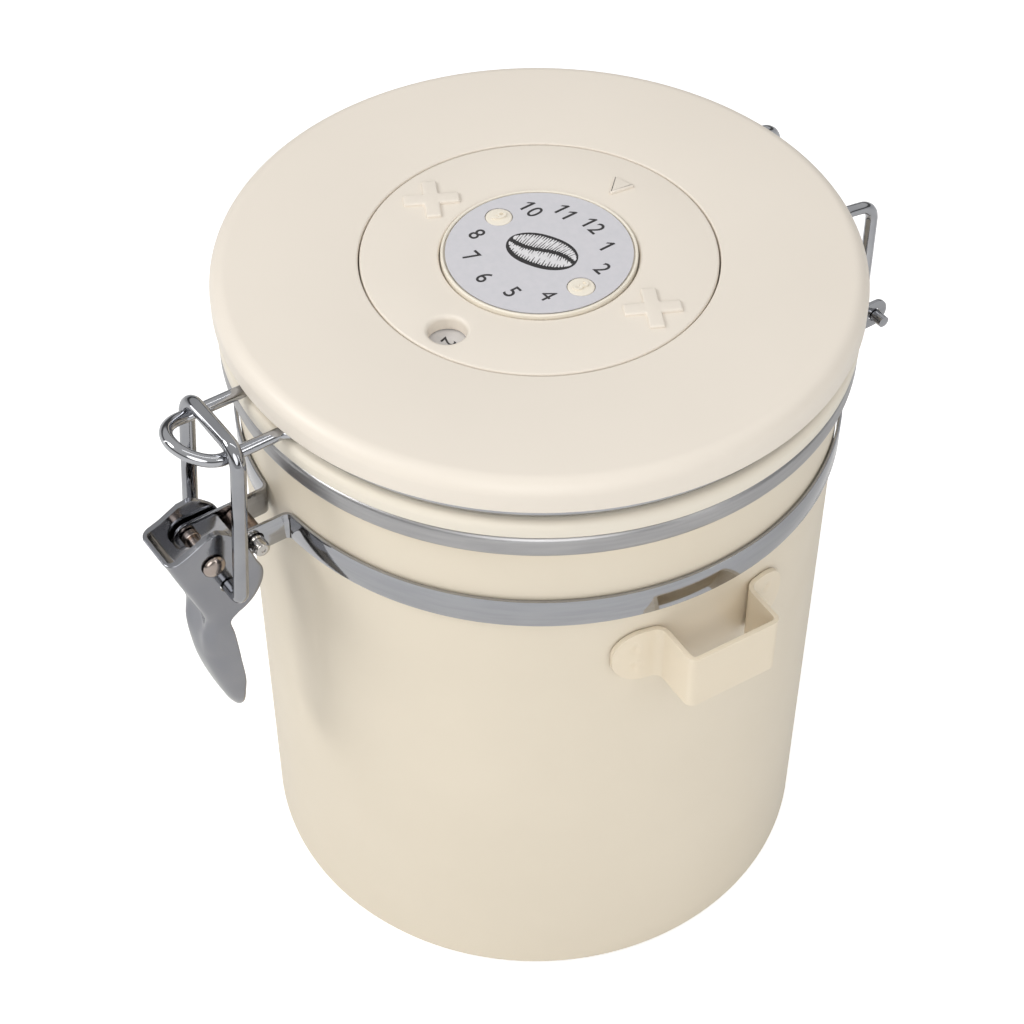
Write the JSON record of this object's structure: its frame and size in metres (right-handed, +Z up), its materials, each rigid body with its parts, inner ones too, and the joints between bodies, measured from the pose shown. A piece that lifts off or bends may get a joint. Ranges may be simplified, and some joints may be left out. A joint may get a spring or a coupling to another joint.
{
  "type": "coffee canister",
  "caption": "Round steel coffee canister with a clamp-down lid, over-centre wire latch, date dials in the lid, one-way valve and a side bracket for a spoon.",
  "frame": {"origin": "centre of the base, on the surface that the canister stands on", "axes": "+Z up along the can's axis, latch at -Y, lid hinge at +Y, spoon bracket near +X"},
  "size_m": [0.1327, 0.1607, 0.1509],
  "materials": {
    "cream_coat": "satin cream powder coat",
    "band_steel": "polished",
    "pin_nickel": "polished nickel",
    "sleeve_nickel": "dull nickel",
    "rivet_nickel": "nickel",
    "bracket_steel": "polished",
    "cream_bracket_coat": "satin cream powder coat",
    "lever_steel": "mirror polish",
    "bail_steel": "bright wire",
    "wire_steel": "bright wire",
    "cream_moulding": "fine satin",
    "cream_under_moulding": "fine satin",
    "gasket_silicone": "matt",
    "silver_day_ring": "silver print",
    "cream_day_disc": "fine satin",
    "cream_month_dial": "fine satin",
    "silver_label": "silver print",
    "screw_zinc": "zinc plate",
    "washer_zinc": "zinc plate",
    "flap_silicone": "matt",
    "filter_felt": "felt",
    "cap_moulding": "fine satin"
  },
  "bodies": {
    "canister": {"canister_body": "cream_coat", "clamp_band": "band_steel", "clamp_pin": "pin_nickel", "clamp_sleeve": "sleeve_nickel", "lever_rivet": "rivet_nickel", "hinge_bracket": "bracket_steel", "spoon_bracket": "cream_bracket_coat"},
    "lid": {"lid_wire": "wire_steel", "lid_shell": "cream_moulding", "lid_base": "cream_under_moulding", "lid_gasket": "gasket_silicone", "day_ring": "silver_day_ring", "dial_screw": "screw_zinc", "dial_washer": "washer_zinc", "valve_flap": "flap_silicone", "valve_filter": "filter_felt", "valve_cap": "cap_moulding"},
    "lever": {"latch_lever": "lever_steel"},
    "bail": {"bail_wire": "bail_steel"},
    "day_dial": {"day_disc": "cream_day_disc"},
    "month_dial": {"month_dial": "cream_month_dial", "dial_label": "silver_label"}
  },
  "joints": [
    {"name": "lid_hinge", "type": "hinge", "parent": "canister", "child": "lid", "pos_m": [0, 0.0712, 0.1142], "axis": [-1, 0, 0], "range_deg": [0, 180]},
    {"name": "latch_pivot", "type": "hinge", "parent": "canister", "child": "lever", "pos_m": [0, -0.0773, 0.1154], "axis": [-1, 0, 0], "range_deg": [0, 125]},
    {"name": "bail_pivot", "type": "hinge", "parent": "lever", "child": "bail", "pos_m": [0, -0.0747, 0.1088], "axis": [-1, 0, 0], "range_deg": [-113, 0]},
    {"name": "day_turn", "type": "hinge", "parent": "lid", "child": "day_dial", "pos_m": [0, 0, 0.148], "axis": [0, 0, 1], "continuous": true},
    {"name": "month_turn", "type": "hinge", "parent": "lid", "child": "month_dial", "pos_m": [0, 0, 0.148], "axis": [0, 0, 1], "continuous": true}
  ],
  "couplings": [
    {"joint": "bail_pivot", "follows": "latch_pivot", "ratio": -0.9}
  ]
}
